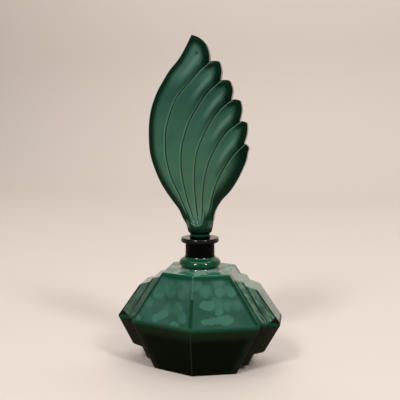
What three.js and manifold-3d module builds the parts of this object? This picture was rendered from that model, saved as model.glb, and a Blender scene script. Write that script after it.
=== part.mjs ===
// A stoppered scent bottle of moulded glass. The bottle has a six-sided body that widens to a girdle,
// two stepped blocks at each end, a collar, a neck and a lip. Its stopper is a wing of six feathers on
// a tapered ground plug, and a glass dauber hangs from the plug.
// Millimetres, +Z up, +X along the body's width. The origin is the centre of the base.
import * as THREE from 'three';
import { ConvexGeometry } from 'three/addons/geometries/ConvexGeometry.js';
import { mergeVertices } from 'three/addons/utils/BufferGeometryUtils.js';
import Module from 'manifold-3d';

const wasm = await Module();
wasm.setup();

// ---------- driving dimensions ----------

// The body's plan at three levels: half the width, then the depth at the corners and at the middle ridge.
const base = { z: 0, halfWidth: 24.0, cornerDepth: 16.0, ridgeDepth: 24.1 };
const girdle = { z: 27.8, halfWidth: 37.2, cornerDepth: 17.0, ridgeDepth: 29.6 };
const shoulder = { z: 56.6, halfWidth: 19.2, cornerDepth: 14.0, ridgeDepth: 20.5 };
const footBevel = 0.8;

// Each step block stands out of the body's ends by reach at the girdle, and by reachAtEnds above and below.
const steps = [
  { reach: 4.3, reachAtEnds: 4.3, halfDepth: 10.0, topDrop: 5.0, footRise: 3.2, slope: 0.21, root: 9 },
  { reach: 10.8, reachAtEnds: 9.5, halfDepth: 8.9, topDrop: 9.3, footRise: 11.2, slope: 0.3, root: 12 },
];

const collar = { radius: 12.3, height: 5.5, gap: 1.6, waist: 10.8 };
const neck = { radius: 8.5, length: 8.6, fillet: 1.4 };
const lip = { radius: 11.05, height: 2.8 };

const glassWall = 5.5;
const glassFloor = 7.0;
const hollowRound = 4.0;
const hollowDepthShare = 0.66; // the hollow is an ellipse in plan, this much as deep as it is wide

const ground = { mouthRadius: 6.0, taper: 0.05, length: 15.0, clearance: 0.12, chamfer: 0.5 };
const stopperFoot = { waistRise: 2.3, waistInset: 0.3, bulbRise: 4.3, bulbOverhang: 0.85, rootRise: 12 };
const wing = { width: 58, height: 114.9, thickness: 8.0, grooveRadius: 1.3 };
const dauber = { radius: 1.5, socket: 9.0, length: 38.0, clearance: 0.15 };

const overrun = 1.0; // how far a cutter runs past the face that it opens
const roundSegments = 48;
const curveSegments = 4;

// ---------- levels worked out from them ----------

const collarBottom = shoulder.z + collar.gap;
const collarTop = collarBottom + collar.height;
const lipBottom = collarTop + neck.length;
const lipTop = lipBottom + lip.height;
const plugEnd = lipTop - ground.length;

// ---------- helpers ----------

// A closed geometry as a solid that can be joined and cut.
function solid(geometry) {
  const bare = new THREE.BufferGeometry().setAttribute('position', geometry.getAttribute('position'));
  bare.setIndex(geometry.index);
  const merged = mergeVertices(bare, 1e-4);
  return new wasm.Manifold(
    new wasm.Mesh({
      numProp: 3,
      vertProperties: merged.attributes.position.array,
      triVerts: new Uint32Array(merged.index.array),
    }),
  );
}

// A solid back as a named mesh.
function meshOf(name, made, material) {
  const { numProp, numVert, vertProperties, triVerts } = made.getMesh();
  const positions = new Float32Array(numVert * 3);
  for (let i = 0; i < numVert; i++) {
    positions.set(vertProperties.subarray(i * numProp, i * numProp + 3), i * 3);
  }
  const geometry = new THREE.BufferGeometry();
  geometry.setAttribute('position', new THREE.BufferAttribute(positions, 3));
  geometry.setIndex(new THREE.BufferAttribute(triVerts, 1));
  geometry.computeVertexNormals();
  const mesh = new THREE.Mesh(geometry, material);
  mesh.name = name;
  return mesh;
}

// A solid of revolution about Z from a path of (radius, height) that starts and ends on the axis.
// depthShare below 1 squeezes it along Y.
function turned(path, depthShare = 1) {
  const geometry = new THREE.LatheGeometry(path.getPoints(curveSegments), roundSegments);
  geometry.rotateX(Math.PI / 2);
  geometry.scale(1, depthShare, 1);
  return solid(geometry);
}

// The value at height z on the straight line between two levels of the body.
function between(low, high, key, z) {
  return THREE.MathUtils.mapLinear(z, low.z, high.z, low[key], high[key]);
}

// The body's half width at a height, along its sloping ends.
function endAt(z) {
  return z > girdle.z
    ? between(girdle, shoulder, 'halfWidth', z)
    : between(base, girdle, 'halfWidth', z);
}

// ---------- the bottle's outside ----------

// Six corners of the body's plan at one level.
function planCorners({ z, halfWidth, cornerDepth, ridgeDepth }) {
  const corners = [new THREE.Vector3(0, ridgeDepth, z), new THREE.Vector3(0, -ridgeDepth, z)];
  for (const side of [-1, 1]) {
    corners.push(new THREE.Vector3(side * halfWidth, cornerDepth, z));
    corners.push(new THREE.Vector3(side * halfWidth, -cornerDepth, z));
  }
  return corners;
}

function body() {
  const foot = {
    z: base.z,
    halfWidth: base.halfWidth - footBevel,
    cornerDepth: base.cornerDepth - footBevel,
    ridgeDepth: base.ridgeDepth - footBevel,
  };
  const levels = [foot, { ...base, z: base.z + footBevel }, girdle, shoulder];
  return solid(new ConvexGeometry(levels.flatMap(planCorners)));
}

// One step block, through the body from end to end. Its top and foot fall away outwards by its slope.
function stepBlock({ reach, reachAtEnds, halfDepth, topDrop, footRise, slope, root }) {
  const top = shoulder.z - topDrop;
  const foot = base.z + footRise;
  const topEdge = endAt(top) + reachAtEnds;
  const footEdge = endAt(foot) + reachAtEnds;
  const edges = [
    [topEdge - root, top + slope * root],
    [topEdge, top],
    [girdle.halfWidth + reach, girdle.z],
    [footEdge, foot],
    [footEdge - root, foot - slope * root],
  ];
  const corners = edges.flatMap(([x, z]) =>
    [-1, 1].flatMap((side) => [
      new THREE.Vector3(side * x, halfDepth, z),
      new THREE.Vector3(side * x, -halfDepth, z),
    ]),
  );
  return solid(new ConvexGeometry(corners));
}

// Collar, neck and lip as one turned piece, rooted inside the body.
function neckPiece() {
  const root = shoulder.z - glassWall;
  const collarRound = collar.height / 2;
  const lipRound = lip.height / 2;
  const path = new THREE.Path()
    .moveTo(0, root)
    .lineTo(collar.waist, root)
    .lineTo(collar.waist, collarBottom)
    .absarc(collar.radius - collarRound, collarBottom + collarRound, collarRound, -Math.PI / 2, Math.PI / 2)
    .lineTo(neck.radius + neck.fillet, collarTop)
    .quadraticCurveTo(neck.radius, collarTop, neck.radius, collarTop + neck.fillet)
    .lineTo(neck.radius, lipBottom - neck.fillet)
    .quadraticCurveTo(neck.radius, lipBottom, neck.radius + neck.fillet, lipBottom)
    .absarc(lip.radius - lipRound, lipBottom + lipRound, lipRound, -Math.PI / 2, Math.PI / 2)
    .lineTo(0, lipTop);
  return turned(path);
}

// ---------- the bottle's inside ----------

const throat = shoulder.z - 2 * glassWall; // where the hollow narrows into the bore

// The radius of the ground bore at a height.
function boreRadius(z) {
  return ground.mouthRadius - ground.taper * (lipTop - z);
}

function bore() {
  const narrow = boreRadius(plugEnd);
  const flared = ground.mouthRadius + ground.chamfer;
  const path = new THREE.Path()
    .moveTo(0, throat - glassWall)
    .lineTo(narrow, throat - glassWall)
    .lineTo(narrow, plugEnd)
    .lineTo(boreRadius(lipTop - ground.chamfer), lipTop - ground.chamfer)
    .lineTo(flared, lipTop)
    .lineTo(flared, lipTop + overrun)
    .lineTo(0, lipTop + overrun);
  return turned(path);
}

function hollow() {
  const floor = base.z + glassFloor;
  const footWidth = endAt(floor + hollowRound) - glassWall;
  const wide = girdle.halfWidth - glassWall;
  const narrow = boreRadius(plugEnd);
  const path = new THREE.Path()
    .moveTo(0, floor)
    .lineTo(footWidth - hollowRound, floor)
    .quadraticCurveTo(footWidth, floor, footWidth, floor + hollowRound)
    .quadraticCurveTo(wide, girdle.z - hollowRound, wide, girdle.z)
    .quadraticCurveTo(wide, girdle.z + hollowRound, (wide + narrow) / 2, (girdle.z + throat) / 2)
    .quadraticCurveTo(narrow + hollowRound, throat, 0, throat);
  return turned(path, hollowDepthShare);
}

function bottle() {
  const outside = steps.reduce((made, step) => made.add(stepBlock(step)), body()).add(neckPiece());
  return outside.subtract(bore().add(hollow()));
}

// ---------- the stopper ----------

// The wing's outline and grooves, in millimetres across from the plug's axis and up from the lip,
// drawn at its own width and height and stretched to those of the wing.
const drawn = { width: 58, height: 114.9 };
const backEdge = [
  [-11.5, 101], [-23.3, 84.5], [-29.6, 62], [-25.4, 39], [-15.4, 21.7], [-8.4, 10.2], [-5.6, 4.0],
];
// The outer corner of each feather's end, then the notch below it, from the tallest feather down.
const featherEnds = [
  { top: [-3.6, 114.9], corner: [3.4, 110], notch: [5.2, 100.5] },
  { top: [9.0, 100.6], corner: [12.3, 98], notch: [11.9, 89.7] },
  { top: [15.6, 89.7], corner: [18.6, 86.4], notch: [17.9, 78.7] },
  { top: [21.6, 78.7], corner: [24.2, 75.6], notch: [23.0, 66.6] },
  { top: [25.6, 66.4], corner: [27.7, 63.6], notch: [25.4, 54] },
];
const frontEdge = [
  [28.3, 51.2], [26.7, 44.6], [21.3, 33], [12.6, 21.4], [7.9, 10.2], [5.6, 4.0],
];
const grooves = [
  [[5.4, 100.5], [-9.9, 83.9], [-19.4, 62], [-18.4, 43], [-8.6, 18.6], [-4.6, 9]],
  [[12.3, 89.7], [-5.3, 67], [-10.4, 46], [-8.4, 28.5], [-3.2, 9]],
  [[18.3, 78.7], [1.6, 56.5], [-2.6, 37.5], [-2.2, 24], [-0.8, 9]],
  [[23.3, 66.6], [10.2, 52.9], [3.6, 36], [1.9, 20], [1.6, 9]],
  [[25.6, 54], [14.5, 40.5], [8.4, 27], [4.8, 12]],
];

// A point of the drawn wing at the wing's own size.
function placed([x, z]) {
  return new THREE.Vector2((x * wing.width) / drawn.width, (z * wing.height) / drawn.height);
}

function wingOutline() {
  const start = placed(frontEdge.at(-1));
  const shape = new THREE.Shape().moveTo(start.x, start.y);
  shape.splineThru(frontEdge.slice(0, -1).reverse().map(placed));
  for (const { top, corner, notch } of featherEnds.toReversed()) {
    const [outer, end, step] = [placed(corner), placed(top), placed(notch)];
    shape.lineTo(step.x, step.y);
    shape.lineTo(outer.x, outer.y);
    shape.quadraticCurveTo(outer.x, end.y, end.x, end.y);
  }
  shape.splineThru(backEdge.map(placed));
  return shape;
}

function wingPlate() {
  const geometry = new THREE.ExtrudeGeometry(wingOutline(), {
    depth: wing.thickness,
    bevelEnabled: false,
    curveSegments: curveSegments - 1,
  });
  geometry.rotateX(Math.PI / 2);
  geometry.translate(0, wing.thickness / 2, lipTop);
  return solid(geometry);
}

// A round channel along one groove, on the face at the given side.
function groove(points, side) {
  const y = (side * wing.thickness) / 2;
  const line = points.map(placed).map(({ x, y: up }) => new THREE.Vector3(x, y, lipTop + up));
  const outward = line[0].clone().sub(line[1]).setLength(4 * wing.grooveRadius).add(line[0]);
  const section = new THREE.Shape().absarc(0, 0, wing.grooveRadius, 0, 2 * Math.PI);
  return solid(
    new THREE.ExtrudeGeometry(section, {
      extrudePath: new THREE.CatmullRomCurve3([outward, ...line]),
      steps: curveSegments * points.length,
      curveSegments,
    }),
  );
}

// Tapered ground plug, the waist above it and the bulb that the wing grows from.
function plugAndFoot() {
  const plugRadius = (z) => boreRadius(z) - ground.clearance;
  const waist = ground.mouthRadius - stopperFoot.waistInset;
  const bulb = ground.mouthRadius + stopperFoot.bulbOverhang;
  const waistLevel = lipTop + stopperFoot.waistRise;
  const bulbLevel = lipTop + stopperFoot.bulbRise;
  const rootLevel = lipTop + stopperFoot.rootRise;
  const path = new THREE.Path()
    .moveTo(0, plugEnd)
    .lineTo(plugRadius(plugEnd) - ground.chamfer, plugEnd)
    .lineTo(plugRadius(plugEnd), plugEnd + ground.chamfer)
    .lineTo(plugRadius(lipTop), lipTop)
    .lineTo(waist, waistLevel)
    .quadraticCurveTo(bulb, waistLevel, bulb, bulbLevel)
    .quadraticCurveTo(bulb, (bulbLevel + rootLevel) / 2, 0, rootLevel);
  return turned(path);
}

function rod(radius, bottom, top) {
  const path = new THREE.Path()
    .moveTo(0, bottom)
    .absarc(0, bottom + radius, radius, -Math.PI / 2, 0)
    .lineTo(radius, top)
    .lineTo(0, top);
  return turned(path);
}

function stopper() {
  const socket = rod(dauber.radius + dauber.clearance, plugEnd - dauber.length, plugEnd + dauber.socket);
  const channels = grooves.flatMap((points) => [groove(points, -1), groove(points, 1)]);
  const plate = channels.reduce((made, channel) => made.subtract(channel), wingPlate());
  return plate.add(plugAndFoot()).subtract(socket);
}

function dauberRod() {
  return rod(dauber.radius, plugEnd - dauber.length, plugEnd + dauber.socket - dauber.clearance);
}

// ---------- the part ----------

const moulded = new THREE.MeshStandardMaterial({ color: 0x1f5a3c, roughness: 0.12, metalness: 0 });
const satin = new THREE.MeshStandardMaterial({ color: 0x2c6a4c, roughness: 0.35, metalness: 0 });
const clear = new THREE.MeshStandardMaterial({ color: 0x8fb39f, roughness: 0.08, metalness: 0 });

const group = new THREE.Group();
group.add(
  meshOf('bottle', bottle(), moulded),
  meshOf('stopper', stopper(), satin),
  meshOf('dauber', dauberRod(), clear),
);
export default group;
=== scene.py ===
"""A stoppered scent bottle of marbled green glass, with a satin wing for a stopper."""

import math

import bmesh
import bpy
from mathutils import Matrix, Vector


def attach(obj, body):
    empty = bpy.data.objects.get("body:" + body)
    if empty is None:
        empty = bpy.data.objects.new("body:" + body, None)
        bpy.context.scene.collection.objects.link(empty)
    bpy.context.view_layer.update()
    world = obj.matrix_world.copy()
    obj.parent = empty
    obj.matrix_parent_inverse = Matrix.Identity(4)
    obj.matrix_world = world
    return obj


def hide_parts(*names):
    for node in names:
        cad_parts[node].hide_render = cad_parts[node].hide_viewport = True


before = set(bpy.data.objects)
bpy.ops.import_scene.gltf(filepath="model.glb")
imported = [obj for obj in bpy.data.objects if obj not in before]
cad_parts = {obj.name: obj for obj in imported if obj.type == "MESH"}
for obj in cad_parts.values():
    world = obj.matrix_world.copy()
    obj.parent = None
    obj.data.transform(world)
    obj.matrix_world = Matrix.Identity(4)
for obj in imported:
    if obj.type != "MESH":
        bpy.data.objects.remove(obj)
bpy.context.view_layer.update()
bpy.ops.object.select_all(action="DESELECT")

MM = 0.001

# ---------- sizes, in millimetres, the same as those of the frame ----------

# Half the body's width, and half its depth at the corners and at the middle ridge, at three levels.
BASE = {"z": 0.0, "width": 24.0, "corner": 16.0, "ridge": 24.1}
GIRDLE = {"z": 27.8, "width": 37.2, "corner": 17.0, "ridge": 29.6}
SHOULDER = {"z": 56.6, "width": 19.2, "corner": 14.0, "ridge": 20.5}
# The blocks stepped out of both ends: how far each reaches past the body, half its depth, how far it stops
# short of the shoulder and the base, and the slope and length of its top and underside.
STEPS = [
    {
        "reach": 4.3, "reach_at_ends": 4.3, "depth": 10.0,
        "drop": 5.0, "rise": 3.2, "slope": 0.21, "root": 9.0,
    },
    {
        "reach": 10.8, "reach_at_ends": 9.5, "depth": 8.9,
        "drop": 9.3, "rise": 11.2, "slope": 0.3, "root": 12.0,
    },
]
BODY_ROUND = 0.8
STEP_ROUND = 0.9

COLLAR_RADIUS, COLLAR_HEIGHT, COLLAR_GAP = 12.3, 5.5, 1.6
NECK_RADIUS, NECK_LENGTH = 8.5, 8.6
LIP_RADIUS, LIP_HEIGHT, LIP_CORNER = 11.05, 2.8, 1.0
GLASS_WALL, GLASS_FLOOR = 5.5, 7.0
HOLLOW_ROUND, HOLLOW_DEPTH_SHARE = 4.0, 0.66
MOUTH_RADIUS, TAPER, GROUND_LENGTH, GROUND_GAP, MOUTH_CHAMFER = 6.0, 0.05, 15.0, 0.12, 0.5

COLLAR_BOTTOM = SHOULDER["z"] + COLLAR_GAP
COLLAR_TOP = COLLAR_BOTTOM + COLLAR_HEIGHT
LIP_BOTTOM = COLLAR_TOP + NECK_LENGTH
LIP_TOP = LIP_BOTTOM + LIP_HEIGHT
PLUG_END = LIP_TOP - GROUND_LENGTH
THROAT = SHOULDER["z"] - 2 * GLASS_WALL

DAUBER_RADIUS, DAUBER_SOCKET, DAUBER_GAP, DAUBER_LENGTH = 1.5, 9.0, 0.15, 38.0

# In metres: how near two points are when they are one, along the wing's seams and in a finished mesh, and
# how near a point is to a level that it lies at.
SEAM, TOUCHING, LEVEL = 1e-5, 2e-6, 1e-6

# ---------- camera ----------

VIEW_TURN = math.radians(10.67)
VIEW_PITCH = 0.114
VIEW_DISTANCE = 0.34606
VIEW_HEIGHT = 0.13641
LENS = 54.07


def camera():
    bpy.ops.object.camera_add(
        location=(VIEW_DISTANCE * math.sin(VIEW_TURN), -VIEW_DISTANCE * math.cos(VIEW_TURN), VIEW_HEIGHT),
        rotation=(math.pi / 2 - VIEW_PITCH, 0, VIEW_TURN),
    )
    made = bpy.context.object
    made.data.lens = LENS
    made.data.sensor_width = 36
    made.data.clip_start = 0.01
    bpy.context.scene.camera = made


# ---------- modelling helpers ----------


def begin(name):
    """Names the primitive just added and puts it in edit mode."""
    made = bpy.context.object
    made.name = name
    made.data.name = name
    bpy.ops.object.mode_set(mode="EDIT")
    return made


def pick(made, kind, test):
    """In edit mode, selects the vertices, edges or faces that pass the test, and nothing else."""
    bpy.ops.mesh.select_mode(type={"verts": "VERT", "edges": "EDGE", "faces": "FACE"}[kind])
    bpy.ops.mesh.select_all(action="DESELECT")
    mesh = bmesh.from_edit_mesh(made.data)
    for part in getattr(mesh, kind):
        part.select_set(test(part))
    mesh.select_flush_mode()
    bmesh.update_edit_mesh(made.data)


def object_mode():
    bpy.ops.object.mode_set(mode="OBJECT")


def only(*made):
    """Selects these objects alone, the first of them active."""
    bpy.ops.object.select_all(action="DESELECT")
    for each in made:
        each.select_set(True)
    bpy.context.view_layer.objects.active = made[0]


def apply_modifier(made, kind, **settings):
    only(made)
    modifier = made.modifiers.new(kind, kind)
    for key, value in settings.items():
        setattr(modifier, key, value)
    bpy.ops.object.modifier_apply(modifier=modifier.name)


def combine(made, other, operation):
    """Joins or cuts one solid with another, which is used up."""
    apply_modifier(made, "BOOLEAN", operation=operation, object=other, solver="EXACT")
    bpy.data.objects.remove(other)


def lies_at(level):
    """A test for the edges and faces that lie at a level in millimetres."""
    return lambda part: all(abs(v.co.z - level * MM) < LEVEL for v in part.verts)


def close_bottom(made, level):
    """In edit mode, fills the open ring at a level in millimetres."""
    lies_there = lies_at(level)
    pick(made, "edges", lambda edge: edge.is_boundary and lies_there(edge))
    bpy.ops.mesh.edge_face_add()
    bpy.ops.mesh.select_all(action="SELECT")
    bpy.ops.mesh.normals_make_consistent(inside=False)


def raise_ring(rise):
    """In edit mode, draws the selected ring or face up by a rise in millimetres."""
    bpy.ops.mesh.extrude_region_move(TRANSFORM_OT_translate={"value": (0, 0, rise * MM)})


def scale_ring(x, y, level):
    """In edit mode, scales what is selected about the axis, at its level in millimetres."""
    bpy.ops.transform.resize(value=(x, y, 1), center_override=(0, 0, level * MM))


# ---------- the body ----------


def along_end(z):
    """The body's half width at a height."""
    low, high = (GIRDLE, SHOULDER) if z > GIRDLE["z"] else (BASE, GIRDLE)
    share = (z - low["z"]) / (high["z"] - low["z"])
    return low["width"] + share * (high["width"] - low["width"])


def faceted_body():
    """A six-sided prism drawn up level by level, wider at the girdle than at its base and shoulder."""
    side = math.cos(math.radians(30))
    bpy.ops.mesh.primitive_circle_add(vertices=6, radius=MM, fill_type="NGON", location=(0, 0, 0))
    made = begin("body_block")
    width, corner, ridge, z = side, 0.5, 1.0, 0.0
    for level in (BASE, GIRDLE, SHOULDER):
        if level["z"] > z:
            raise_ring(level["z"] - z)
        x, y = level["width"] / width, level["ridge"] / ridge
        scale_ring(x, y, level["z"])
        ring = [v.index for v in bmesh.from_edit_mesh(made.data).verts if v.select]
        pick(made, "verts", lambda v: v.index in ring and abs(v.co.x) > LEVEL)
        scale_ring(1, level["corner"] / (corner * y), level["z"])
        width, corner, ridge, z = level["width"], level["corner"], level["ridge"], level["z"]
        pick(made, "faces", lies_at(z))
    close_bottom(made, 0.0)
    object_mode()
    apply_modifier(made, "BEVEL", width=BODY_ROUND * MM, segments=4, limit_method="ANGLE", angle_limit=0.1)
    return made


def step_block(step):
    """One stepped block, running through the body from end to end."""
    top, foot = SHOULDER["z"] - step["drop"], step["rise"]
    top_edge = along_end(top) + step["reach_at_ends"]
    foot_edge = along_end(foot) + step["reach_at_ends"]
    fall = step["slope"] * step["root"]
    levels = [
        (foot - fall, foot_edge - step["root"]),
        (foot, foot_edge),
        (GIRDLE["z"], GIRDLE["width"] + step["reach"]),
        (top, top_edge),
        (top + fall, top_edge - step["root"]),
    ]
    z, width = levels[0]
    bpy.ops.mesh.primitive_plane_add(size=2 * MM, location=(0, 0, z * MM))
    made = begin("step_block")
    scale_ring(width, step["depth"], z)
    for level, reach in levels[1:]:
        raise_ring(level - z)
        scale_ring(reach / width, 1, level)
        z, width = level, reach
    object_mode()
    bpy.ops.object.transform_apply(location=True, rotation=True, scale=True)
    bpy.ops.object.mode_set(mode="EDIT")
    close_bottom(made, levels[0][0])
    object_mode()
    apply_modifier(made, "BEVEL", width=STEP_ROUND * MM, segments=4, limit_method="ANGLE", angle_limit=0.1)
    return made


# ---------- turned pieces ----------


def arc(centre, radius, start, end, count):
    """Points of (radius, height) round a centre on the axis, from one angle to another in degrees."""
    angles = [math.radians(start + (end - start) * i / count) for i in range(count + 1)]
    return [(radius * math.cos(a), centre + radius * math.sin(a)) for a in angles]


def bend(start, control, end, count):
    """Points of a smooth bend between two points, pulled towards a third."""
    steps = [i / count for i in range(count + 1)]
    return [
        tuple((1 - t) ** 2 * a + 2 * t * (1 - t) * b + t**2 * c for a, b, c in zip(start, control, end))
        for t in steps
    ]


def turned(name, profile, sides=96, depth_share=1.0):
    """A ring drawn up through each (radius, height) of the profile, closed at both ends."""
    radius, z = profile[0]
    bpy.ops.mesh.primitive_circle_add(
        vertices=sides, radius=radius * MM, fill_type="NGON", location=(0, 0, z * MM)
    )
    made = begin(name)
    for next_radius, level in profile[1:]:
        if abs(next_radius - radius) < 1e-6 and abs(level - z) < 1e-6:
            continue
        raise_ring(level - z)
        scale_ring(next_radius / radius, next_radius / radius, level)
        radius, z = next_radius, level
    object_mode()
    bpy.ops.object.transform_apply(location=True, rotation=True, scale=True)
    bpy.ops.object.mode_set(mode="EDIT")
    close_bottom(made, profile[0][1])
    bpy.ops.mesh.select_all(action="SELECT")
    bpy.ops.transform.resize(value=(1, depth_share, 1), center_override=(0, 0, 0))
    object_mode()
    return made


def neck_piece():
    """The flare off the shoulder, the sloping collar, the neck and the squared lip."""
    foot, nose, flare = SHOULDER["z"], COLLAR_BOTTOM + 0.7, 14.0
    bottom, top, corner = LIP_BOTTOM, LIP_TOP, LIP_CORNER
    profile = [(flare, foot - 3), (flare, foot - 0.3)]
    profile += bend((flare, foot - 0.3), (11.0, foot + 0.1), (10.9, nose - 0.3), 8)
    profile += bend((11.1, nose), (COLLAR_RADIUS + 0.4, nose + 0.3), (COLLAR_RADIUS - 0.1, nose + 1.7), 6)
    profile += bend((COLLAR_RADIUS - 0.1, nose + 1.7), (11.7, nose + 3.2), (10.1, nose + 4.0), 6)
    profile += bend((10.1, nose + 4.0), (NECK_RADIUS, nose + 4.6), (NECK_RADIUS, nose + 6.3), 6)
    profile += bend((NECK_RADIUS, bottom - 0.9), (NECK_RADIUS, bottom), (NECK_RADIUS + 0.9, bottom), 5)
    profile += bend((LIP_RADIUS - corner, bottom), (LIP_RADIUS, bottom), (LIP_RADIUS, bottom + corner), 5)
    profile += bend((LIP_RADIUS, top - corner), (LIP_RADIUS, top), (LIP_RADIUS - corner, top), 6)
    return turned("neck_block", profile)


def bore_radius(z):
    return MOUTH_RADIUS - TAPER * (LIP_TOP - z)


def bore_cutter():
    narrow, flared = bore_radius(PLUG_END), MOUTH_RADIUS + MOUTH_CHAMFER
    profile = [(narrow, THROAT - GLASS_WALL), (narrow, PLUG_END)]
    below = (bore_radius(LIP_TOP - 1), LIP_TOP - 1)
    profile += bend(below, (MOUTH_RADIUS, LIP_TOP), (flared + 0.5, LIP_TOP), 8)
    profile += [(flared + 0.5, LIP_TOP + 1)]
    return turned("bore_cutter", profile)


def hollow_cutter():
    floor, narrow = GLASS_FLOOR, bore_radius(PLUG_END)
    foot, waist = along_end(floor + HOLLOW_ROUND) - GLASS_WALL, GIRDLE["z"]
    wide = GIRDLE["width"] - GLASS_WALL
    middle = ((wide + narrow) / 2, (waist + THROAT) / 2)
    profile = [(0.5, floor)]
    profile += bend((foot - HOLLOW_ROUND, floor), (foot, floor), (foot, floor + HOLLOW_ROUND), 8)
    profile += bend((foot, floor + HOLLOW_ROUND), (wide, waist - HOLLOW_ROUND), (wide, waist), 10)
    profile += bend((wide, waist), (wide, waist + HOLLOW_ROUND), middle, 10)
    profile += bend(middle, (narrow + HOLLOW_ROUND, THROAT), (0.5, THROAT), 10)
    return turned("hollow_cutter", profile, depth_share=HOLLOW_DEPTH_SHARE)


def smooth_glass(made, angle=40):
    """Rounded edges read as round and facets stay flat."""
    only(made)
    bpy.ops.object.mode_set(mode="EDIT")
    bpy.ops.mesh.select_all(action="SELECT")
    bpy.ops.mesh.remove_doubles(threshold=TOUCHING)
    bpy.ops.mesh.dissolve_degenerate(threshold=TOUCHING)
    bpy.ops.mesh.select_all(action="SELECT")
    bpy.ops.mesh.normals_make_consistent(inside=False)
    object_mode()
    bpy.ops.object.shade_smooth_by_angle(angle=math.radians(angle))
    apply_modifier(made, "WEIGHTED_NORMAL", keep_sharp=True, weight=50)


def bottle_glass():
    made = faceted_body()
    for step in STEPS:
        combine(made, step_block(step), "UNION")
    combine(made, neck_piece(), "UNION")
    inside = bore_cutter()
    combine(inside, hollow_cutter(), "UNION")
    combine(made, inside, "DIFFERENCE")
    made.name = "bottle_glass"
    smooth_glass(made)
    return made


# ---------- the wing ----------

# The wing's outline and grooves, across from the plug's axis and up from the lip.
BACK_EDGE = [
    (-7.2, 4.4), (-8.0, 7.4), (-9.3, 10.3), (-11.9, 16.2), (-16.3, 22.0), (-20.4, 27.8), (-23.6, 33.4),
    (-26.1, 39.2), (-28.1, 45.0), (-29.2, 50.6), (-29.6, 56.4), (-29.6, 62.2), (-29.2, 67.8), (-28.2, 73.5),
    (-26.4, 79.1), (-23.9, 84.7), (-20.6, 90.2), (-17.0, 95.7), (-12.3, 101.1), (-8.7, 106.6), (-4.3, 114.9),
]
FRONT_EDGE = [
    (7.2, 4.4), (7.7, 7.2), (8.1, 10.2), (9.4, 15.6), (12.7, 21.4), (17.9, 27.3), (21.7, 33.2), (24.6, 39.0),
    (26.9, 44.8), (27.8, 49.6),
]
GROOVES = [
    [(-3.9, 4.4), (-4.2, 9.0), (-6.3, 12.8), (-8.5, 18.2), (-12.5, 27.0), (-15.9, 33.9), (-18.0, 41.0),
     (-19.4, 48.3), (-19.6, 55.7), (-19.0, 63.1), (-16.8, 71.0), (-13.9, 78.3), (-9.9, 83.9), (-4.7, 89.6),
     (0.5, 95.3), (5.7, 99.9)],
    [(-2.2, 4.4), (-2.6, 9.0), (-4.2, 14.2), (-6.5, 21.4), (-8.4, 28.5), (-10.1, 37.7), (-10.5, 47.0),
     (-9.2, 55.3), (-5.8, 66.1), (-0.7, 75.1), (5.1, 83.2), (12.1, 89.6)],
    [(-0.5, 4.4), (-0.6, 9.0), (-0.9, 13.4), (-2.4, 26.9), (-2.6, 37.0), (-1.6, 47.1), (1.0, 55.4),
     (6.0, 65.3), (12.0, 73.6), (18.2, 78.8)],
    [(1.2, 4.4), (1.4, 9.0), (1.8, 13.5), (2.3, 26.2), (3.5, 35.4), (5.7, 43.8), (10.2, 52.9), (16.1, 61.2),
     (23.1, 66.8)],
    [(3.3, 4.4), (3.7, 9.0), (5.0, 13.0), (6.3, 17.0), (7.8, 24.6), (10.3, 32.2), (14.5, 40.5), (19.5, 48.0),
     (25.7, 54.3)],
]
# Each feather's free end, from the groove on its left to the groove on its right.
ENDS = [
    [(-4.3, 114.9), (-1.0, 113.8), (2.0, 111.8), (4.2, 109.0), (5.3, 105.8), (5.8, 102.6), (5.7, 99.9)],
    [(5.7, 99.9), (7.9, 100.3), (10.3, 100.2), (11.4, 99.9), (11.9, 98.9), (12.4, 96.8), (12.7, 94.4),
     (12.1, 89.6)],
    [(12.1, 89.6), (14.1, 89.8), (16.4, 89.6), (17.5, 89.2), (18.0, 88.2), (18.7, 86.0), (19.1, 83.4),
     (18.2, 78.8)],
    [(18.2, 78.8), (20.2, 79.0), (22.2, 78.7), (23.3, 78.3), (23.7, 77.2), (24.2, 75.0), (24.2, 72.0),
     (23.1, 66.8)],
    [(23.1, 66.8), (24.7, 66.9), (26.4, 66.4), (27.2, 65.9), (27.4, 64.9), (27.5, 62.4), (27.1, 59.0),
     (25.7, 54.3)],
    [(25.7, 54.3), (26.7, 54.0), (27.6, 53.2), (28.2, 52.4), (28.3, 51.2), (27.8, 49.6)],
]
# Where the grooves end above the lip, and the oval that the wing has there, as half width and half depth.
ROOT = 4.4
ROOT_WIDTH, ROOT_DEPTH = 7.2, 6.3
ROWS, COLUMNS = 96, 28
SIDE_POINTS, END_POINTS = 2000, 200
# How many rows up and down a side is searched for the point nearest to a place.
NEARBY = 12
# Half the wing's thickness on a feather's crown and at its edges.
WING_HALF, EDGE_HALF = 4.0, 3.2
GROOVE_DEPTH = 0.55
RIM_ROUND = 0.5


def curve_points(points, count):
    """A smooth curve through the points, cut into equal lengths."""
    ends = [2 * Vector(points[0]) - Vector(points[1]), 2 * Vector(points[-1]) - Vector(points[-2])]
    line = [ends[0], *map(Vector, points), ends[1]]
    fine = []
    for a, b, c, d in zip(line, line[1:], line[2:], line[3:]):
        for i in range(12):
            t = i / 12
            curved = (2 * a - 5 * b + 4 * c - d) * t**2 + (3 * b - a - 3 * c + d) * t**3
            fine.append(0.5 * (2 * b + (c - a) * t + curved))
    fine.append(line[-2])
    lengths = [0.0]
    for a, b in zip(fine, fine[1:]):
        lengths.append(lengths[-1] + (b - a).length)
    out, here = [], 0
    for i in range(count + 1):
        want = lengths[-1] * i / count
        while here < len(fine) - 2 and lengths[here + 1] < want:
            here += 1
        span = max(lengths[here + 1] - lengths[here], 1e-9)
        out.append(fine[here].lerp(fine[here + 1], min(1.0, (want - lengths[here]) / span)))
    return out


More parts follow.
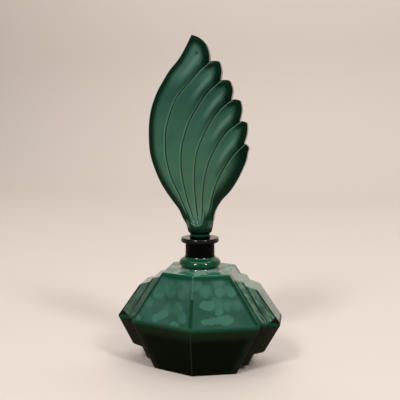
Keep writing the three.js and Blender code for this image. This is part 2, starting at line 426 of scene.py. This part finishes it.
def ramp(low, high, value):
    """0 below low, 1 above high, and smooth between."""
    t = min(1.0, max(0.0, (value - low) / (high - low)))
    return t * t * (3 - 2 * t)


def half_thickness(x, z, left, right, end, width, first, last):
    """How far a feather's face stands off the wing's middle, from its place and distances in millimetres."""
    near_end = 1 - ramp(6, 40, end)
    left_rise = 1 - math.exp(-left / (2.6 if first else 0.35))
    right_rise = 1 - math.exp(-right / (0.6 + 1.6 * near_end + (0.8 if last else 0)))
    end_rise = 1 - math.exp(-end / 1.6)
    crown = left_rise * right_rise * end_rise * (1 - 0.3 * left / width)
    thick = EDGE_HALF + (WING_HALF - EDGE_HALF) * crown
    rim = min(end, left if first else end, right if last else end)
    if rim < RIM_ROUND:
        thick -= RIM_ROUND - math.sqrt(RIM_ROUND**2 - (RIM_ROUND - rim) ** 2)
    low = ramp(11, 16, z)
    if not first:
        thick -= GROOVE_DEPTH * low * math.exp(-((left / 0.22) ** 2))
    if not last:
        thick -= GROOVE_DEPTH * low * math.exp(-((right / 0.4) ** 2))
    round_foot = ROOT_DEPTH * math.sqrt(max(0.0, 1 - (x / ROOT_WIDTH) ** 2))
    share = 1 - ramp(ROOT, 13, z)
    return thick + share * (round_foot - thick)


def feather_sheet(number, left, right, end):
    """The front of one feather: a grid laid between its two sides, its root and its free end."""
    bpy.ops.mesh.primitive_grid_add(x_subdivisions=COLUMNS, y_subdivisions=ROWS, size=2)
    made = bpy.context.object
    first, last = number == 0, number == len(ENDS) - 1
    rises = [1 - (1 - i / ROWS) ** 1.6 for i in range(ROWS + 1)]
    curves = [curve_points(side, SIDE_POINTS) for side in (left, right)]
    sides = [[curve[round(SIDE_POINTS * u)] for u in rises] for curve in curves]
    shares = [0.3 * i / COLUMNS + 0.35 * (1 - math.cos(math.pi * i / COLUMNS)) for i in range(COLUMNS + 1)]
    top = curve_points(end, END_POINTS)
    root = [sides[0][0].lerp(sides[1][0], v) for v in shares]
    tops = [top[round(END_POINTS * v)] for v in shares]
    distances = []
    for vertex in made.data.vertices:
        column = round((vertex.co.x + 1) / 2 * COLUMNS)
        row = round((vertex.co.y + 1) / 2 * ROWS)
        u, v = rises[row], shares[column]
        across = sides[0][row].lerp(sides[1][row], v)
        along = root[column].lerp(tops[column], u)
        corner = root[0].lerp(root[-1], v).lerp(tops[0].lerp(tops[-1], v), u)
        place = across + along - corner
        width = (sides[1][row] - sides[0][row]).length
        nearby = slice(max(0, row - NEARBY), row + NEARBY + 1)
        to_left, to_right = (min((place - p).length for p in side[nearby]) for side in sides)
        to_end = min((place - p).length for p in top[::2])
        thick = half_thickness(place.x, place.y, to_left, to_right, to_end, width, first, last)
        vertex.co = (place.x * MM, -thick * MM, (place.y + LIP_TOP) * MM)
        distances.append((to_left, to_right, to_end))
    made.data.attributes.new("across", "FLOAT_VECTOR", "CORNER")
    made.data.attributes.new("feather", "FLOAT", "CORNER")
    across, feather = made.data.attributes["across"].data, made.data.attributes["feather"].data
    for i, loop in enumerate(made.data.loops):
        across[i].vector = distances[loop.vertex_index]
        feather[i].value = number
    return made


def wing():
    """Six feather sheets joined along their grooves, mirrored to the back, closed round the rim, and drawn
    down from their oval root into the foot and the ground plug."""
    sides = [BACK_EDGE, *GROOVES, FRONT_EDGE]
    sheets = [feather_sheet(i, sides[i], sides[i + 1], end) for i, end in enumerate(ENDS)]
    only(*sheets)
    bpy.ops.object.join()
    made = bpy.context.object
    bpy.ops.object.mode_set(mode="EDIT")
    bpy.ops.mesh.select_all(action="SELECT")
    bpy.ops.mesh.remove_doubles(threshold=SEAM)
    bpy.ops.mesh.duplicate()
    bpy.ops.transform.resize(value=(1, -1, 1), center_override=(0, 0, 0))
    root = (LIP_TOP + ROOT) * MM
    pick(made, "edges", lambda e: e.is_boundary and any(v.co.z > root + LEVEL for v in e.verts))
    bpy.ops.mesh.bridge_edge_loops()
    bpy.ops.mesh.select_all(action="SELECT")
    bpy.ops.mesh.remove_doubles(threshold=SEAM)
    pick(made, "edges", lambda e: e.is_boundary)
    wide, deep, level = ROOT_WIDTH, ROOT_DEPTH, LIP_TOP + ROOT
    for next_wide, next_deep, z in foot_profile():
        raise_ring(z - level)
        scale_ring(next_wide / wide, next_deep / deep, z)
        wide, deep, level = next_wide, next_deep, z
    close_bottom(made, level)
    bpy.ops.mesh.select_all(action="SELECT")
    bpy.ops.mesh.normals_make_consistent(inside=False)
    object_mode()
    return made


def foot_profile():
    """Points of (half width, half depth, height) from the oval root down to the end of the ground plug."""
    waist, lip = MOUTH_RADIUS - 0.3, LIP_TOP
    ground, tip = bore_radius(lip) - GROUND_GAP, bore_radius(PLUG_END) - GROUND_GAP
    oval = bend((ROOT_WIDTH, ROOT_DEPTH, lip + ROOT), (7.1, 6.4, lip + 3.2), (6.3, 6.1, lip + 2.8), 6)[1:]
    oval += bend((6.3, 6.1, lip + 2.8), (waist, waist, lip + 2.5), (waist, waist, lip + 2.0), 4)[1:]
    plug = [(ground, ground, lip + 0.3), (tip, tip, PLUG_END + 0.5), (tip - 0.5, tip - 0.5, PLUG_END)]
    return oval + plug


def socket_cutter():
    radius = DAUBER_RADIUS + DAUBER_GAP
    return turned("socket_cutter", [(radius, PLUG_END - 3), (radius, PLUG_END + DAUBER_SOCKET)], sides=48)


def stopper_glass():
    made = wing()
    combine(made, socket_cutter(), "DIFFERENCE")
    made.name = "stopper_glass"
    smooth_glass(made, 50)
    return made


def dauber_glass():
    bottom, top = PLUG_END - DAUBER_LENGTH, PLUG_END + DAUBER_SOCKET - DAUBER_GAP
    profile = arc(bottom + DAUBER_RADIUS, DAUBER_RADIUS, -85, 0, 10)
    profile += [(DAUBER_RADIUS, bottom + 6), (DAUBER_RADIUS, top)]
    made = turned("dauber_glass", profile, sides=48)
    smooth_glass(made)
    return made


# ---------- materials ----------


class Wire:
    """A socket's value, with the arithmetic that adds its Math nodes."""

    def __init__(self, finish, socket):
        self.finish, self.socket = finish, socket

    def math(self, operation, *others):
        return self.finish.node("ShaderNodeMath", {"operation": operation}, dict(enumerate([self, *others])))

    def __add__(self, other):
        return self.math("ADD", other)

    __radd__ = __add__

    def __mul__(self, other):
        return self.math("MULTIPLY", other)

    __rmul__ = __mul__

    def __sub__(self, other):
        return self.math("SUBTRACT", other)

    def __rsub__(self, other):
        return self * -1.0 + other

    def __abs__(self):
        return self.math("ABSOLUTE")

    def max(self, other):
        return self.math("MAXIMUM", other)

    def min(self, other):
        return self.math("MINIMUM", other)

    def above(self, low, high):
        """0 below low, 1 above high, and smooth between."""
        return self.finish.node(
            "ShaderNodeMapRange",
            {"interpolation_type": "SMOOTHSTEP"},
            {"Value": self, "From Min": low, "From Max": high},
        )

    def below(self, low, high):
        return 1 - self.above(low, high)


class Finish:
    """A material in the making."""

    def __init__(self, name):
        self.material = bpy.data.materials.new(name)
        self.material.use_nodes = True
        self.tree = self.material.node_tree
        self.tree.nodes.clear()

    def node(self, kind, settings=None, inputs=None, output=0):
        made = self.tree.nodes.new(kind)
        for key, value in (settings or {}).items():
            setattr(made, key, value)
        for key, value in (inputs or {}).items():
            if isinstance(value, Wire):
                self.tree.links.new(value.socket, made.inputs[key])
            else:
                made.inputs[key].default_value = value
        return Wire(self, made.outputs[output]) if made.outputs else None

    def place(self):
        """The piece's own coordinates, in millimetres."""
        metres = self.node("ShaderNodeTexCoord", output="Object")
        return self.node("ShaderNodeVectorMath", {"operation": "SCALE"}, {0: metres, "Scale": 1000.0})

    def split(self, vector):
        made = self.node("ShaderNodeSeparateXYZ", None, {"Vector": vector}).socket.node
        return [Wire(self, made.outputs[axis]) for axis in "XYZ"]

    def attribute(self, name, output):
        return self.node("ShaderNodeAttribute", {"attribute_name": name}, output=output)

    def noise(self, place, size, detail=1.0):
        """Soft patches of about the given size, in millimetres."""
        return self.node("ShaderNodeTexNoise", None, {"Vector": place, "Scale": 1 / size, "Detail": detail})

    def cells(self, place, size):
        """How far each place is from the middle of its cell, as a share of the cell."""
        return self.node("ShaderNodeTexVoronoi", None, {"Vector": place, "Scale": 1 / size}, "Distance")

    def distance(self, place, aim):
        return self.node("ShaderNodeVectorMath", {"operation": "DISTANCE"}, {0: place, 1: aim}, "Value")

    def shift(self, place, amount):
        return self.node("ShaderNodeVectorMath", {"operation": "ADD"}, {0: place, 1: amount})

    def mix(self, share, first, second):
        """A colour between two, by share."""
        made = self.tree.nodes.new("ShaderNodeMix")
        made.data_type = "RGBA"
        for socket, value in ((made.inputs[0], share), (made.inputs[6], first), (made.inputs[7], second)):
            if isinstance(value, Wire):
                self.tree.links.new(value.socket, socket)
            else:
                socket.default_value = value
        return Wire(self, made.outputs[2])

    def layers(self, first, *rest):
        """Colours laid one over another, each by its own share."""
        for share, tint in rest:
            first = self.mix(share, first, tint)
        return first

    def bump(self, height, distance):
        """A relief of that height, whose depth is given in metres."""
        return self.node("ShaderNodeBump", None, {"Height": height, "Distance": distance, "Strength": 1.0})

    def glass(self, **sockets):
        """The glass itself. Whatever is the same all over is set on its own socket."""
        names = {key: key.replace("_", " ").title().replace("Ior", "IOR") for key in sockets}
        inputs = {names[key]: value for key, value in sockets.items()}
        shader = self.node("ShaderNodeBsdfPrincipled", None, inputs)
        self.node("ShaderNodeOutputMaterial", None, {"Surface": shader})
        return self.material


def colour(red, green, blue):
    """A colour from its 0 to 255 screen values."""
    shares = [value / 255 for value in (red, green, blue)]
    return (*(s / 12.92 if s <= 0.04 else ((s + 0.055) / 1.055) ** 2.4 for s in shares), 1.0)


# The soft round clouds in the glass of the two front faces: across, up and radius.
CLOUDS = [
    (-27.0, 39.4, 3.8), (-20.6, 45.4, 4.1), (-13.6, 48.2, 4.9), (-5.9, 48.7, 5.1), (1.2, 52.2, 4.5),
    (-8.4, 38.7, 3.8), (-13.8, 37.5, 3.2), (-21.8, 31.6, 2.4), (-18.5, 33.4, 2.4), (-15.8, 35.2, 2.4),
    (-5.4, 34.1, 3.8), (-33.5, 29.9, 2.7), (-9.8, 29.3, 2.9), (13.9, 52.7, 3.8), (18.3, 47.9, 3.4),
    (21.2, 47.5, 3.1), (14.7, 47.8, 3.1), (7.0, 48.3, 3.9), (6.3, 41.0, 2.5), (8.5, 40.9, 2.8),
    (10.8, 40.8, 2.5), (13.9, 41.6, 4.5), (19.9, 40.5, 3.9), (23.6, 40.3, 3.4), (7.4, 32.3, 1.9),
    (11.1, 32.6, 2.4), (14.4, 32.9, 2.1), (17.9, 32.8, 2.6), (20.5, 33.0, 2.6), (15.0, 37.4, 2.2),
]
# Clouds under this radius run together. The others are larger and fainter.
LARGE_CLOUD = 3.2
# How far the clouds' outlines wander, across and up.
WANDER = (2.4, 1.8)


def cloud_masks(finish, place, x, z):
    """How strong the small clouds and the large clouds of the front faces are at each place."""
    wobble = finish.noise(place, 5.0)
    wandered = {"X": x + wobble * WANDER[0], "Z": z + wobble * WANDER[1]}
    flat = finish.node("ShaderNodeCombineXYZ", None, wandered)
    small = large = None
    for cx, cz, radius in CLOUDS:
        away = finish.distance(flat, (cx + WANDER[0] / 2, 0, cz + WANDER[1] / 2))
        if radius < LARGE_CLOUD:
            disc = away.below(radius * 0.2, radius * 1.45)
            small = disc if small is None else small + disc
        else:
            disc = away.below(radius - 1.9, radius + 0.5) * (1 - radius * 0.07)
            large = disc if large is None else large.max(disc)
    return small, large


def marbled_glass():
    finish = Finish("marbled_green_glass")
    place = finish.place()
    x, y, z = finish.split(place)
    across, depth = abs(x), abs(y)
    girdle, shoulder = GIRDLE["z"], SHOULDER["z"]
    up, below_shoulder = z - girdle, shoulder - z

    # how far each place is inside the end of the faceted body, or out on the steps
    rise = (GIRDLE["width"] - BASE["width"]) / girdle
    fall = (GIRDLE["width"] - SHOULDER["width"]) / (shoulder - girdle)
    end = (z * rise + BASE["width"]).min(up * -fall + GIRDLE["width"])
    inside, out = end - across, across - end
    front = inside.above(-0.3, 0.1) * depth.above(11.0, 12.5)
    neck = z.above(COLLAR_TOP, COLLAR_TOP + 0.8)

    # clouds in the glass
    small, large = cloud_masks(finish, place, x, z)
    rings = small.above(0.05, 0.2) * small.below(0.2, 0.42) * front
    spots = finish.cells(place, 9.0).below(0.36, 0.54)
    specks = finish.cells(finish.shift(place, (4.0, 2.5, 7.0)), 6.0).below(0.28, 0.46)
    haze = finish.noise(place, 14.0, 2.0)
    faint = finish.noise(place, 8.0).above(0.3, 0.62)
    on_front = (small.above(0.22, 0.66) * 0.62).max(large * (faint * 0.45 + 0.3))
    clouds = (on_front * front + (spots * 0.6 + specks * 0.5) * (1 - front)).min(1.0)

    # the front faces' borders, the bar down the ridge and the mould seam
    edge = (inside.below(0.9, 2.6) * inside.above(-0.2, 0.3)).max(below_shoulder.below(1.4, 4.0)) * front
    ridge = across.below(0.75, 1.15).max((across - 0.4).below(0.6, 1.0) * up.below(1.0, 8.0))
    ridge = ridge * up.below(16.0, 16.8) * front
    seam = across.below(0.15, 0.4) * front
    top_border = below_shoulder.below(0.8, 2.2) * front

    # the stepped ends: painted reflections on their faces, pale streaks and patches with dark patches among
    # them, a painted shine on the right end's upper steps, and painted shade as dark lines along their edges
    # and where they meet
    along = finish.node("ShaderNodeCombineXYZ", None, {"X": out, "Y": y * 0.2, "Z": z * 0.16})
    reflection_streaks = finish.noise(along, 1.3)
    patches = finish.noise(place, 5.0).above(0.4, 0.6)
    stepped = depth.above(8.0, 8.4) * (1 - front) * z.below(shoulder - 1, shoulder)
    pale = (reflection_streaks.above(0.46, 0.62).max(out.above(0.5, 0.9) * out.below(1.4, 2.6) * 0.7)) * stepped
    pale = pale * (patches * 0.6 + 0.3)
    shine = below_shoulder.below(8.0, 15.0) * stepped * x.above(0.0, 10.0) * (patches * 0.5 + 0.3)
    dark_reflection = reflection_streaks.below(0.34, 0.42) * stepped
    first_edge = abs(out - STEPS[0]["reach"] + 0.1).below(0.25, 0.6)
    last_edge = abs(out - STEPS[1]["reach"] + up * 0.067 + 0.5).below(0.35, 0.7)
    lines = abs(out).below(0.2, 0.5).max(first_edge).max(last_edge) * stepped
    # painted shade: the steps' corners by the girdle go near-black
    corner = (up - (out - 3.2) * 0.6).below(-0.6, 0.5) * out.above(3.0, 4.5) * depth.above(6.0, 8.0)
    corner = corner.max(up.below(1.2, 2.4) * out.above(8.0, 9.0))

    # the flat top, and the tops of the steps, which carry painted reflections of pale light
    plate = z.above(shoulder - 0.3, shoulder - 0.1)
    ledge_reflection = below_shoulder.below(8.0, 14.0) * depth.below(7.6, 8.2) * (1 - plate)

    upper_tint = finish.layers(
        colour(40, 82, 66),
        (haze.above(0.36, 0.66), colour(54, 94, 84)),
        (clouds, colour(74, 126, 108)),
        (rings * 0.3, colour(44, 80, 76)),
        (edge * 0.9, colour(2, 54, 32)),
        (seam * 0.45, colour(90, 130, 114)),
        (ridge, colour(14, 62, 40)),
        (stepped * 0.6, colour(38, 78, 62)),
        # painted reflection and shine on the stepped ends, paler on the right end than the left, then dark
        # patches of painted reflection and painted shade along their edges
        (pale * x.above(-10.0, 10.0) * 0.9, colour(120, 164, 138)),
        (pale * x.below(-10.0, 10.0) * 0.6, colour(80, 120, 100)),
        (shine, colour(118, 156, 134)),
        (dark_reflection * 0.8, colour(14, 54, 36)),
        (lines * 0.85, colour(8, 46, 28)),
        (up.below(0.9, 2.2) * 0.8, colour(44, 80, 70)),
        # painted shade at the steps' corners by the girdle
        (corner, colour(0, 10, 5)),
        (top_border * 0.7, colour(8, 84, 54)),
        (plate, colour(30, 106, 82)),
        # painted reflection: pale patches on the flat top, and pale on the tops of the steps
        (plate * finish.noise(place, 6.0).above(0.42, 0.58) * 0.8, colour(128, 160, 142)),
        (ledge_reflection * 0.6, colour(146, 166, 150)),
        (z.above(shoulder + 0.8, shoulder + 1.6), colour(6, 72, 48)),
    )
    # below the girdle the glass is painted near-black as painted shade of the thick, top-lit glass, a little
    # lighter towards the girdle and on the ends
    lower_shaded = finish.layers(
        colour(3, 11, 0),
        (up.above(-8.5, -2.5), colour(24, 36, 20)),
        (inside.below(0.5, 6.0) * front * 0.8, colour(30, 33, 22)),
        (1 - front, colour(34, 33, 26)),
        (seam * 0.5, colour(44, 54, 36)),
    )
    body = finish.layers(
        lower_shaded,
        (up.above(-0.3, 0.9), upper_tint),
        (up.above(-1.6, -0.6) * up.below(0.3, 1.1), colour(10, 62, 38)),
        # the neck and lip are painted near-black as shade of the thick glass round the plug
        (neck, colour(1, 3, 1)),
    )

    # polished above the girdle, less on the front faces, and bright on the lip's rim
    gloss = up.above(-0.5, 0.5) * (0.95 - front * 0.35) * (1 - corner * 0.8) * (1 - neck)
    lip_gloss = z.above(LIP_BOTTOM, LIP_BOTTOM + 0.8) * 0.2 + z.above(LIP_TOP - 1.3, LIP_TOP - 0.9) * 0.8
    waves = finish.noise(place, 9.0) + finish.noise(place, 3.0) * 0.12
    return finish.glass(
        base_color=body,
        roughness=0.3,
        specular_ior_level=0.03,
        coat_weight=gloss + neck * lip_gloss + 0.01,
        coat_roughness=0.03,
        normal=finish.bump(waves, 0.0004),
    )


# A small pit in the first feather, near its tip, painted as a dark spot of shade.
PIT = (-1.3, -4.0, LIP_TOP + 104.8)


def satin_glass():
    finish = Finish("satin_green_glass")
    place = finish.place()
    x, y, z = finish.split(place)
    height, depth = z - LIP_TOP, abs(y)
    left, right, end = finish.split(finish.attribute("across", "Vector"))
    feather, count = finish.attribute("feather", "Fac"), len(ENDS)
    first, last = feather.below(0.3, 0.7), feather.above(count - 1.7, count - 1.3)
    near = end.below(5.0, 34.0)

    # the glass grows darker up the wing, and paler again towards the first feather's tip
    haze = finish.noise(place, 9.0, 2.0)
    plain = finish.layers(
        colour(58, 98, 84),
        (height.above(9.0, 13.0), colour(84, 120, 100)),
        (height.above(14.0, 24.0), colour(68, 106, 82)),
        (height.above(30.0, 60.0), colour(60, 100, 81)),
        (height.above(58.0, 82.0), colour(46, 84, 71)),
        (height.above(84.0, 94.0) * 0.9, colour(66, 106, 92)),
        (haze.above(0.42, 0.7) * 0.4, colour(46, 84, 78)),
    )

    # each feather: painted shade in its grooves and painted highlights on their edges, a painted glow of
    # light near its end, painted shade down its sloping sides, round its free end and along the wing's outer
    # edges, and its rim
    grooved = height.above(10.0, 14.0)
    groove = left.min(right).below(0.15, 0.5) * grooved
    highlight_left = left.above(0.25, 0.5) * left.below(0.7, 1.2) * (1 - first) * grooved
    highlight_right = right.above(0.3, 0.5) * right.below(0.8, 1.4) * (1 - last) * (1 - near) * grooved
    painted_glow = end.above(4.0, 7.0) * end.below(9.0, 23.0) * abs(right - left * 0.7).below(0.5, 3.6)
    shade_right = right.below(1.2, 4.4) * near
    shade_left = left.above(0.8, 1.3) * left.below(2.0, 4.5) * end.below(4.0, 18.0) * (1 - first)
    outline = left.below(1.8, 5.2) * first
    far_edge = right.below(3.6, 9.0) * last
    tip = end.below(2.4, 6.0)
    rim = depth.below(2.2, 2.6) * height.above(10.0, 13.0)
    pit = finish.distance(place, PIT).below(0.5, 1.3)

    # the foot: the satin ends in a bowl whose edge carries a painted crinkled glint, with painted shade round
    # the bowl and under the foot, and the glass below it is polished
    foot_side_shade = abs(x + 1.3).above(3.4, 5.2) * height.below(10.0, 18.0)
    side, drop = (x + 1.2) * 0.24, (12.0 - height).max(0.0) * 0.21
    bowl = side * side + drop * drop
    bowl_shade = bowl.above(0.8, 1.2) * height.below(10.0, 14.0)
    crinkle_glint = bowl.above(0.75, 0.9) * bowl.below(1.05, 1.3) * height.below(8.4, 9.4)
    crinkle_glint = crinkle_glint * finish.noise(place, 0.8, 2.0).above(0.5, 0.62) * 0.8
    foot = height.below(9.0, 11.0) * height.above(5.5, 6.5)
    body = finish.layers(
        plain,
        # painted light and shade on the feathers: glow, shade on the sides, outer edges and free ends,
        # highlights on the grooves' edges, and shade in the grooves
        (painted_glow * 0.7, colour(94, 128, 114)),
        (shade_right * 0.85, colour(14, 46, 31)),
        (shade_left * 0.7, colour(22, 58, 40)),
        (outline * 0.95, colour(4, 32, 16)),
        (far_edge * 0.95, colour(4, 28, 14)),
        (tip * 0.95, colour(3, 27, 13)),
        (highlight_left * 0.6, colour(78, 116, 98)),
        (highlight_right * 0.6, colour(90, 128, 102)),
        (groove * near * 0.85, colour(10, 30, 20)),
        (groove * (1 - near) * 0.7, colour(40, 72, 52)),
        # painted shade at the foot's sides and round the bowl
        (foot_side_shade * 0.9, colour(8, 38, 22)),
        (bowl_shade, colour(12, 54, 34)),
        # painted highlight: the crinkled glint at the bowl's edge
        (crinkle_glint, colour(176, 198, 182)),
        (pit * 0.7, colour(12, 42, 28)),
        # painted shade under the turn of the foot's bulb, near-black where it meets the lip, then a green
        # band, and dark again as painted shade where the plug sits in the mouth
        (height.below(4.6, 6.4) * 0.8, colour(4, 36, 18)),
        (height.below(3.2, 4.4), colour(0, 6, 2)),
        (height.below(1.9, 2.5), colour(14, 66, 48)),
        (height.below(0.7, 1.2), colour(1, 10, 6)),
        (height.below(-0.9, -0.3), colour(88, 122, 102)),
        (rim, colour(34, 46, 36)),
    )
    grain = finish.noise(place, 0.4, 2.0) * 0.05 + finish.noise(place, 7.0)
    grain = grain + finish.noise(place, 1.1, 2.0) * foot
    return finish.glass(
        base_color=body,
        roughness=0.32,
        specular_ior_level=0.04,
        coat_weight=rim * 0.75 + foot * 0.9 + 0.03,
        coat_roughness=0.06,
        normal=finish.bump(grain, 0.0003),
    )


def clear_glass():
    finish = Finish("clear_glass")
    return finish.glass(base_color=colour(205, 225, 215), roughness=0.04, transmission_weight=1.0)


# ---------- the room ----------


def floor_and_wall():
    """A pale floor that sweeps up into a wall behind."""
    bpy.ops.mesh.primitive_plane_add(size=1, location=(0, 0, 0))
    made = begin("sweep")
    bpy.ops.transform.resize(value=(6, 1.6, 1), center_override=(0, 0, 0))
    bpy.ops.transform.translate(value=(0, 0.1, 0))
    pick(made, "edges", lambda e: all(v.co.y > 0.8 for v in e.verts))
    turn, steps = 0.35, 10  # the radius of the sweep in metres, and its segments
    for i in range(steps):
        low, high = (math.pi / 2 * (i + k) / steps for k in (0, 1))
        bpy.ops.mesh.extrude_region_move(
            TRANSFORM_OT_translate={
                "value": (0, turn * (math.sin(high) - math.sin(low)), turn * (math.cos(low) - math.cos(high)))
            },
        )
    bpy.ops.mesh.extrude_region_move(TRANSFORM_OT_translate={"value": (0, 0, 2.2)})
    bpy.ops.mesh.select_all(action="SELECT")
    bpy.ops.mesh.normals_make_consistent(inside=False)
    object_mode()
    bpy.ops.object.shade_smooth()
    finish = Finish("pale_floor")
    made.data.materials.append(finish.glass(base_color=colour(224, 214, 207), roughness=0.7))


def light(name, place, aim, width, height, power):
    bpy.ops.object.light_add(type="AREA", location=place)
    made = bpy.context.object
    made.name = name
    made.rotation_euler = (Vector(aim) - Vector(place)).to_track_quat("-Z", "Y").to_euler()
    made.data.shape = "RECTANGLE"
    made.data.size = width
    made.data.size_y = height
    made.data.energy = power
    made.data.color = (1.0, 0.97, 0.94)


def studio():
    light("overhead", (0.1, 0.1, 1.9), (0, 0.15, 0), 1.9, 1.9, power=16.0)
    light("wall_wash", (0.0, 0.35, 1.5), (0, 1.25, 0.95), 1.6, 0.3, power=8.0)
    light("lamp_left", (-0.30, -0.80, 0.90), (0, 0, 0.08), 0.2, 0.32, power=6.0)
    light("lamp_right", (0.66, -0.56, 0.90), (0, 0, 0.08), 0.2, 0.32, power=5.0)
    world = bpy.data.worlds.new("room")
    bpy.context.scene.world = world
    world.use_nodes = True
    sky = world.node_tree.nodes["Background"]
    sky.inputs["Color"].default_value = (1.0, 0.96, 0.92, 1)
    sky.inputs["Strength"].default_value = 0.12
    bpy.context.scene.view_settings.view_transform = "Standard"


def dress(made, material, body, node):
    """Gives a finished piece its material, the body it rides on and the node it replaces."""
    made.data.materials.clear()
    made.data.materials.append(material)
    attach(made, body)
    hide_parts(node)


camera()
dress(bottle_glass(), marbled_glass(), "bottle", "bottle")
dress(stopper_glass(), satin_glass(), "stopper", "stopper")
dress(dauber_glass(), clear_glass(), "dauber", "dauber")
floor_and_wall()
studio()
